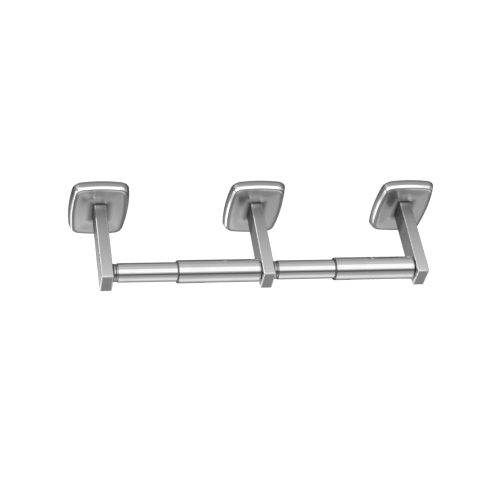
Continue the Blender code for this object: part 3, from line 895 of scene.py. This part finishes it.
def handling_marks_group():
    """Soft smudges and a few fine scratches, as on metal that is wiped and touched."""
    group, given, result = new_group(
        "handling_marks",
        (
            ("Smudge Size", "NodeSocketFloat", 60.0),
            ("Scratch Size", "NodeSocketFloat", 260.0),
        ),
        ("Smudge", "Scratch"),
    )
    place = object_place(group)
    noise, vectors = "ShaderNodeTexNoise", "ShaderNodeVectorMath"
    smudge = place_node(group, noise, vector=place, detail=4.0, roughness=0.55, distortion=0.6)
    feed(smudge.inputs["Scale"], given["Smudge Size"])
    softened = map_range(group, smudge.outputs["Fac"], 0.42, 0.68, shape="SMOOTHSTEP")
    feed(result["Smudge"], softened)
    bend = place_node(group, noise, vector=place, scale=35.0, detail=1.0)
    drift = place_node(group, vectors, {"operation": "SCALE"}, scale=SCRATCH_WANDER)
    feed(drift.inputs[0], bend.outputs["Color"])
    shifted = calculate(group, "ADD", place, drift.outputs[0], vectors)
    lines = place_node(
        group, "ShaderNodeTexVoronoi", {"feature": "DISTANCE_TO_EDGE"}, vector=shifted
    )
    feed(lines.inputs["Scale"], given["Scratch Size"])
    thin = map_range(group, lines.outputs["Distance"], 0.0, 0.012, low=1.0, high=0.0)
    broken = place_node(group, noise, vector=place, scale=140.0, detail=1.0)
    gate = map_range(group, broken.outputs["Fac"], 0.56, 0.66)
    feed(result["Scratch"], calculate(group, "MULTIPLY", thin, gate))


def painted_light_and_wear_group():
    """A place where highlight or shade is painted, partly as polish, broken up a little."""
    group, given, result = new_group(
        "painted_light_and_wear",
        (
            ("Place", "NodeSocketFloat", 0.0),
            ("Breakup Size", "NodeSocketFloat", 180.0),
            ("Breakup", "NodeSocketFloat", 0.25),
        ),
        ("Mask",),
    )
    noise = place_node(
        group, "ShaderNodeTexNoise", vector=object_place(group), detail=3.0, roughness=0.6
    )
    feed(noise.inputs["Scale"], given["Breakup Size"])
    lost = calculate(group, "MULTIPLY", noise.outputs["Fac"], given["Breakup"])
    left = calculate(group, "SUBTRACT", 1.0, lost)
    feed(result["Mask"], calculate(group, "MULTIPLY", left, given["Place"], use_clamp=True))


def use_group(tree, name, **values):
    """A group's node, with what its input sockets are fed."""
    return place_node(tree, "ShaderNodeGroup", {"node_tree": bpy.data.node_groups[name]}, **values)


def painted_light_and_wear(tree, attribute, size, breakup):
    """The mask of the places that an attribute of the mesh marks."""
    marked = place_node(tree, "ShaderNodeAttribute", {"attribute_name": attribute})
    place = marked.outputs["Fac"]
    places = use_group(tree, "painted_light_and_wear", place=place, breakup_size=size, breakup=breakup)
    return places.outputs["Mask"]


def raise_bump(tree, shader, height, depth, strength, below=None):
    """Raise a height on the surface, over a bump that is there already."""
    bump = place_node(tree, "ShaderNodeBump", strength=strength, distance=depth, height=height)
    if below:
        feed(bump.inputs["Normal"], below)
    feed(shader.inputs["Normal"], bump.outputs["Normal"])
    return bump.outputs["Normal"]


def new_metal(name):
    """A material with its node tree and shader, ready for a metal finish."""
    material = bpy.data.materials.new(name)
    material.use_nodes = True
    shader = material.node_tree.nodes["Principled BSDF"]
    shader.inputs["Metallic"].default_value = 1.0
    return material, material.node_tree, shader


def satin_finish(name, lines, dark, light, foot_shade_colour, smooth):
    """Satin stainless steel: drawn grain, wiping marks, shade painted dark at the foot, and rims
    polished and painted bright as highlight.
    """
    material, tree, shader = new_metal(name)
    grain = use_group(tree, "brushed_grain", lines=lines).outputs
    marks = use_group(tree, "handling_marks", smudge_size=55.0, scratch_size=240.0).outputs
    rims = painted_light_and_wear(tree, "rim", size=220.0, breakup=0.15)
    foot = painted_light_and_wear(tree, "foot", size=300.0, breakup=0.15)
    toned = blend_colours(tree, grain["Tone"], dark, light)
    scratched = blend_colours(tree, marks["Scratch"], toned, light)
    # Painted shade at the foot, then polish painted bright as highlight at the rims
    shaded_foot = blend_colours(tree, foot, scratched, foot_shade_colour)
    polished_and_highlit = blend_colours(tree, rims, shaded_foot, POLISH_AND_HIGHLIGHT_COLOUR)
    feed(shader.inputs["Base Color"], polished_and_highlit)
    wiped = blend_values(tree, marks["Smudge"], smooth, smooth + WIPED_ROUGHER)
    dulled = blend_values(tree, foot, wiped, FOOT_ROUGHNESS)
    smoothed = blend_values(tree, rims, dulled, POLISHED_ROUGHNESS)
    feed(shader.inputs["Roughness"], smoothed)
    grained = raise_bump(tree, shader, grain["Height"], *GRAIN_BUMP)
    raise_bump(tree, shader, marks["Scratch"], *SCRATCH_BUMP, below=grained)
    return material


def chrome_finish():
    """Bright plating, its rounded edges painted dark as shade, with faint smudges and hairline
    scratches.
    """
    material, tree, shader = new_metal("bright_chrome")
    marks = use_group(tree, "handling_marks", smudge_size=42.0, scratch_size=150.0).outputs
    rims = painted_light_and_wear(tree, "rim", size=300.0, breakup=0.2)
    clean, clean_roughness = CLEAN_PLATING
    smudged, smudged_roughness = SMUDGED_PLATING
    # The rims' dark colour is painted shade
    cut, rim_shade_roughness = RIM_SHADE_PLATING
    plated = blend_colours(tree, marks["Smudge"], clean, smudged)
    feed(shader.inputs["Base Color"], blend_colours(tree, rims, plated, cut))
    touched = blend_values(tree, marks["Smudge"], clean_roughness, smudged_roughness)
    dulled = blend_values(tree, rims, touched, rim_shade_roughness)
    scuffed = blend_values(tree, marks["Scratch"], dulled, SCRATCH_ROUGHNESS)
    feed(shader.inputs["Roughness"], scuffed)
    raise_bump(tree, shader, marks["Scratch"], *HAIRLINE_BUMP)
    return material


def plated_finish(name, dark, light, smooth, spangles):
    """Zinc plating or blackening: crystals of slightly different tone, and stains."""
    material, tree, shader = new_metal(name)
    marks = use_group(tree, "handling_marks", smudge_size=90.0, scratch_size=300.0).outputs
    place = object_place(tree)
    crystals = place_node(tree, "ShaderNodeTexVoronoi", vector=place, scale=spangles)
    fineness = spangles * GRIT_FINENESS
    grit = place_node(tree, "ShaderNodeTexNoise", vector=place, scale=fineness, detail=3.0)
    split = place_node(tree, "ShaderNodeSeparateColor", color=crystals.outputs["Color"]).outputs
    spangled = blend_colours(tree, split["Red"], dark, light)
    feed(shader.inputs["Base Color"], blend_colours(tree, marks["Smudge"], spangled, dark))
    dulled = blend_values(tree, split["Green"], smooth, smooth + DULLER_CRYSTALS)
    feed(shader.inputs["Roughness"], dulled)
    raise_bump(tree, shader, grit.outputs["Fac"], *GRIT_BUMP)
    return material


# The picture

WHITE = (1.0, 1.0, 1.0, 1.0)
# How strong the room's light is on what isn't a mirror, beside the white that is seen
ROOM_LIGHT = 0.75
# The floor, and how much it shines to the camera so that it shows as white
FLOOR_SIZE = 9.0
FLOOR_DROP = 0.66
FLOOR_COLOUR = (0.82, 0.82, 0.82, 1.0)
FLOOR_ROUGHNESS = 0.9
FLOOR_GLOW = 0.45
# Tone of the light tent by angle, in degrees: 0 is level in front of the object, 90 is
# overhead, 180 is level behind it, and negative angles are below
TENT_TONES = (
    (-180, 0.12),
    (-100, 0.10),
    (-92, 0.18),
    (-69, 0.42),
    (-58, 0.58),
    (-50, 0.80),
    (-42, 0.95),
    (-34, 0.90),
    (-24, 0.78),
    (-12, 0.53),
    (-1, 0.43),
    (9, 0.36),
    (16, 0.31),
    (22, 0.11),
    (32, 0.11),
    (41, 0.50),
    (48, 1.0),
    (78, 1.0),
    (87, 0.72),
    (99, 0.64),
    (120, 0.58),
    (128, 0.50),
    (150, 0.44),
    (165, 0.30),
    (176, 0.12),
    (180, 0.12),
)
TENT_RADIUS = 1.6
TENT_LENGTH = 7.0
TENT_SIDES = 180
# The tone of its closed ends
TENT_END_TONE = 0.4
# A card behind the object, which grows lighter upwards: its foot, its size, and its tones by
# share of its height
REAR_CARD_PLACE = (0.08, 0.25)
REAR_CARD_SIZE = (0.66, 0.46)
REAR_CARD_TONES = ((0.0, 0.12), (0.1, 0.30), (0.35, 0.44), (0.74, 0.42), (0.94, 0.62), (1.0, 0.70))
# Cards for the edges and sides: direction, distance, size, roll in degrees and tone
CARDS = (
    ("rear_left_card", (-0.72, 0.59, 0.38), 1.2, (0.40, 0.50), 0, 2.3),
    ("rear_right_card", (0.58, 0.59, 0.58), 1.2, (0.26, 0.30), 0, 1.0),
    ("dark_right_card", (0.80, 0.59, -0.05), 1.2, (0.45, 1.00), 0, 0.03),
    ("left_band_card", (-0.794, 0.104, -0.895), 1.2, (0.32, 1.00), -32, 1.5),
    ("left_side_card", (-1.12, -0.23, -0.15), 1.15, (0.30, 1.25), -22, 1.5),
    ("left_corner_card", (-1.13, 0.10, 0.446), 1.22, (0.24, 0.50), 0, 2.0),
    ("low_front_card", (-0.54, -0.37, -0.77), 1.2, (0.34, 0.34), 0, 1.5),
    ("left_wall_card", (-0.56, 0.34, -0.76), 1.3, (0.50, 0.40), 0, 0.4),
    ("dark_low_card", (-0.48, -0.52, -0.70), 1.3, (0.55, 0.70), 0, 0.05),
    ("near_front_card", (0.02, -0.1235, 0.0947), 0.157, (0.46, 0.061), 0, 0.6),
    ("back_left_card", (-0.33, 0.88, -0.17), 1.2, (0.95, 0.50), 0, 1.6),
    ("back_right_card", (0.50, 0.86, -0.17), 1.2, (0.50, 0.50), 0, 0.2),
)
# A strip along the rollers for their highlight: distance and angle from their axis, and size
ROLLER_CARD_DISTANCE = 0.030
ROLLER_CARD_ANGLE = math.radians(69)
ROLLER_CARD_SIZE = (0.300, 0.0200)
ROLLER_CARD_TONE = 1.14
# Cards that lie below: one that each post's left side mirrors, and one for each flange's face
SIDE_CARD_DROP = 0.10
SIDE_CARD_PLACE = 0.0177
SIDE_CARD_SIZE = (0.050, 0.075)
SIDE_CARD_TONES = {"left": 0.62, "middle": 0.32, "right": 0.30}
FACE_CARD_PLACE = (-0.011, -0.048, -0.080)
FACE_CARD_SIZE = (0.056, 0.027)
FACE_CARD_TONE = 1.35
# Lamps: place, size and power
SOFTBOXES = (
    ("key_softbox", (0.1, -0.50, 1.15), (1.3, 0.35), 0.8),
    ("fill_softbox", (-1.2, -0.6, 0.9), (0.8, 0.8), 2.0),
)


def paint(piece, material):
    piece.data.materials.clear()
    piece.data.materials.append(material)


def stand_in(piece, node, body, material):
    """Put a finished piece in the place of a solid."""
    paint(piece, material)
    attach(piece, body)
    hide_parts(node)


def white_background():
    """White where the camera or a reflection sees it, and plain soft light elsewhere."""
    world = bpy.data.worlds.new("soft_room")
    bpy.context.scene.world = world
    world.use_nodes = True
    tree = world.node_tree
    tree.nodes.clear()
    paths = tree.nodes.new("ShaderNodeLightPath").outputs
    seen = calculate(tree, "MAXIMUM", paths["Is Camera Ray"], paths["Is Glossy Ray"])
    shown = calculate(tree, "MAXIMUM", seen, paths["Is Transmission Ray"])
    level = blend_values(tree, shown, ROOM_LIGHT, 1.0)
    backdrop = place_node(tree, "ShaderNodeBackground", color=WHITE, strength=level)
    place_node(tree, "ShaderNodeOutputWorld", surface=backdrop.outputs[0])


def pale_floor():
    """A floor below the dispenser that keeps its shadow and shows as white."""
    deselect_all()
    bpy.ops.mesh.primitive_plane_add(size=FLOOR_SIZE, location=(0, 0, -FLOOR_DROP))
    floor = bpy.context.object
    floor.name = "pale_floor"
    material = bpy.data.materials.new("pale_floor")
    material.use_nodes = True
    tree = material.node_tree
    shader = tree.nodes["Principled BSDF"]
    shader.inputs["Base Color"].default_value = FLOOR_COLOUR
    shader.inputs["Roughness"].default_value = FLOOR_ROUGHNESS
    seen = tree.nodes.new("ShaderNodeLightPath").outputs["Is Camera Ray"]
    lift = calculate(tree, "MULTIPLY", seen, FLOOR_GLOW)
    glow = place_node(tree, "ShaderNodeEmission", color=WHITE, strength=lift)
    both = tree.nodes.new("ShaderNodeAddShader")
    feed(both.inputs[0], shader.outputs[0])
    feed(both.inputs[1], glow.outputs[0])
    feed(tree.nodes["Material Output"].inputs["Surface"], both.outputs[0])
    paint(floor, material)
    floor.visible_glossy = False


def glow_only_in_reflections(piece):
    """Stage paper that only glossy surfaces show."""
    piece.visible_camera = False
    piece.visible_diffuse = False
    piece.visible_transmission = False
    piece.visible_shadow = False


def glowing_paper(name, tone=1.0):
    """Paper of one tone, with its node tree and its glow."""
    material = bpy.data.materials.new(name)
    material.use_nodes = True
    tree = material.node_tree
    tree.nodes.clear()
    glow = place_node(tree, "ShaderNodeEmission", strength=tone)
    place_node(tree, "ShaderNodeOutputMaterial", surface=glow.outputs[0])
    return material, tree, glow


def toned_paper(name, tones):
    """Paper with a tone ramp, its x, y and z, and the socket that takes a place on the ramp."""
    material, tree, glow = glowing_paper(name)
    ramp = tree.nodes.new("ShaderNodeValToRGB")
    stops = ramp.color_ramp.elements
    ready = len(stops)
    for k, (place, tone) in enumerate(tones):
        stop = stops[k] if k < ready else stops.new(place)
        stop.position = place
        stop.color = (tone, tone, tone, 1.0)
    feed(glow.inputs["Color"], ramp.outputs["Color"])
    split = place_node(tree, "ShaderNodeSeparateXYZ", vector=object_place(tree))
    return material, tree, split.outputs, ramp.inputs["Fac"]


def light_tent():
    """A paper tunnel along the rollers with graded tones."""
    deselect_all()
    bpy.ops.mesh.primitive_cylinder_add(
        vertices=TENT_SIDES,
        radius=TENT_RADIUS,
        depth=TENT_LENGTH,
        end_fill_type="NGON",
        rotation=(0, math.pi / 2, 0),
    )
    tent = bpy.context.object
    tent.name = "light_tent"
    settle()
    ends, _, _ = glowing_paper("tent_end", TENT_END_TONE)
    tones = [((degrees + 180) / 360, tone) for degrees, tone in TENT_TONES]
    material, tree, spot, ramp_place = toned_paper("tent_paper", tones)
    ahead = calculate(tree, "MULTIPLY", spot["Y"], -1.0)
    angle = calculate(tree, "ARCTAN2", spot["Z"], ahead)
    feed(ramp_place, map_range(tree, angle, -math.pi, math.pi))
    paint(tent, material)
    tent.data.materials.append(ends)
    for face in tent.data.polygons:
        face.material_index = int(abs(face.normal.x) > SQUARE_ON)
    glow_only_in_reflections(tent)


def rear_card():
    """A card behind the object that grows lighter upwards."""
    width, height = REAR_CARD_SIZE
    deselect_all()
    bpy.ops.mesh.primitive_plane_add(
        size=1.0, location=(*REAR_CARD_PLACE, height / 2), rotation=(math.pi / 2, 0, 0)
    )
    card = bpy.context.object
    card.name = "rear_card"
    card.scale = (width, height, 1)
    settle()
    material, tree, spot, ramp_place = toned_paper("graded_card", REAR_CARD_TONES)
    feed(ramp_place, map_range(tree, spot["Z"], 0.0, height))
    paint(card, material)
    glow_only_in_reflections(card)


def cut_card(name, place, turn, size, tone):
    deselect_all()
    bpy.ops.mesh.primitive_plane_add(size=1.0, location=place, rotation=turn.to_euler())
    card = bpy.context.object
    card.name = name
    card.scale = (*size, 1)
    settle()
    material, _, _ = glowing_paper(name, tone)
    paint(card, material)
    glow_only_in_reflections(card)


def place_card(name, direction, distance, size, roll, tone):
    """A card that faces the object."""
    place = Vector(direction).normalized() * distance
    turn = (-place).to_track_quat("-Z", "Y") @ Quaternion((0, 0, 1), math.radians(roll))
    cut_card(name, place, turn, size, tone)


def roller_card():
    """A strip in front of the rollers and above them, which faces their axis."""
    away = Vector((0, -math.cos(ROLLER_CARD_ANGLE), math.sin(ROLLER_CARD_ANGLE)))
    place = Vector((0, -ROLLER_REACH, 0)) + away * ROLLER_CARD_DISTANCE
    turn = (-away).to_track_quat("-Z", "Y")
    cut_card("roller_card", place, turn, ROLLER_CARD_SIZE, ROLLER_CARD_TONE)


def lay_cards(station, x):
    """The two cards that lie below a post and its flange."""
    face = x - POST_WIDTH / 2
    drift = (face - CAMERA_PLACE[0]) / CAMERA_PLACE[2] * SIDE_CARD_DROP
    place = (face - drift, SIDE_CARD_PLACE, -SIDE_CARD_DROP)
    cut_card(station + "_side_card", place, Quaternion(), SIDE_CARD_SIZE, SIDE_CARD_TONES[station])
    place = Vector(FACE_CARD_PLACE) + Vector((x, 0, 0))
    cut_card(station + "_face_card", place, Quaternion(), FACE_CARD_SIZE, FACE_CARD_TONE)


def softbox(name, place, size, power):
    """A rectangular lamp that faces the object."""
    lamp = bpy.data.lights.new(name, "AREA")
    lamp.shape = "RECTANGLE"
    lamp.size, lamp.size_y = size
    lamp.energy = power
    lamp_object = bpy.data.objects.new(name, lamp)
    bpy.context.scene.collection.objects.link(lamp_object)
    lamp_object.location = place
    lamp_object.rotation_euler = (-Vector(place)).to_track_quat("-Z", "Y").to_euler()
    lamp_object.visible_camera = False


def set_camera():
    camera = bpy.data.cameras.new("camera")
    camera.lens = CAMERA_LENS
    camera.sensor_width = CAMERA_SENSOR
    camera.clip_start = CAMERA_NEAR
    viewer = bpy.data.objects.new("camera", camera)
    bpy.context.scene.collection.objects.link(viewer)
    viewer.location = CAMERA_PLACE
    viewer.rotation_euler = CAMERA_TURN
    bpy.context.scene.camera = viewer


brushed_grain_group()
handling_marks_group()
painted_light_and_wear_group()
# One steel in three tones: the posts painted light, their ends and the flanges dark, as light and
# shade
flange_steel, post_steel, end_steel = [
    satin_finish(name, *looks) for name, looks in SATIN_FINISHES.items()
]
chrome = chrome_finish()
zinc, black, wire = [plated_finish(name, *looks) for name, looks in PLATED_FINISHES.items()]

flange = press_flange()
for station, x in STATIONS.items():
    cover = copy_piece(flange, station + "_cover_flange", x)
    stand_in(cover, station + "_flange", "root", flange_steel)
    post = cut_post(station + "_bar_post", x, SOCKET_SIDES[station])
    stand_in(post, station + "_post", "root", post_steel)
    # The post's end takes the copy that is painted darker as shade
    post.data.materials.append(end_steel)
    for face in post.data.polygons:
        face.material_index = int(face.normal.y < -SQUARE_ON)
bpy.data.objects.remove(flange)

roller_pieces = turn_roller()
for side, shift in (("left", 0.0), ("right", POST_PITCH)):
    for part, half, master in roller_pieces:
        piece = copy_piece(master, side + "_turned_" + part, shift)
        node = side + "_roller_" + part
        body = side + "_roller_" + half
        if part == "spring":
            stand_in(piece, node, body, wire)
            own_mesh(piece)
        else:
            stand_in(piece, node, body, chrome)
for _, _, master in roller_pieces:
    bpy.data.objects.remove(master)

for name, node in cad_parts.items():
    if name.endswith("set_screw"):
        paint(node, black)
    elif name.endswith(("plate", "screw_upper", "screw_lower")):
        paint(node, zinc)

white_background()
pale_floor()
light_tent()
rear_card()
for card in CARDS:
    place_card(*card)
roller_card()
for station, x in STATIONS.items():
    lay_cards(station, x)
for lamp in SOFTBOXES:
    softbox(*lamp)
set_camera()
bpy.context.scene.view_settings.view_transform = "Standard"
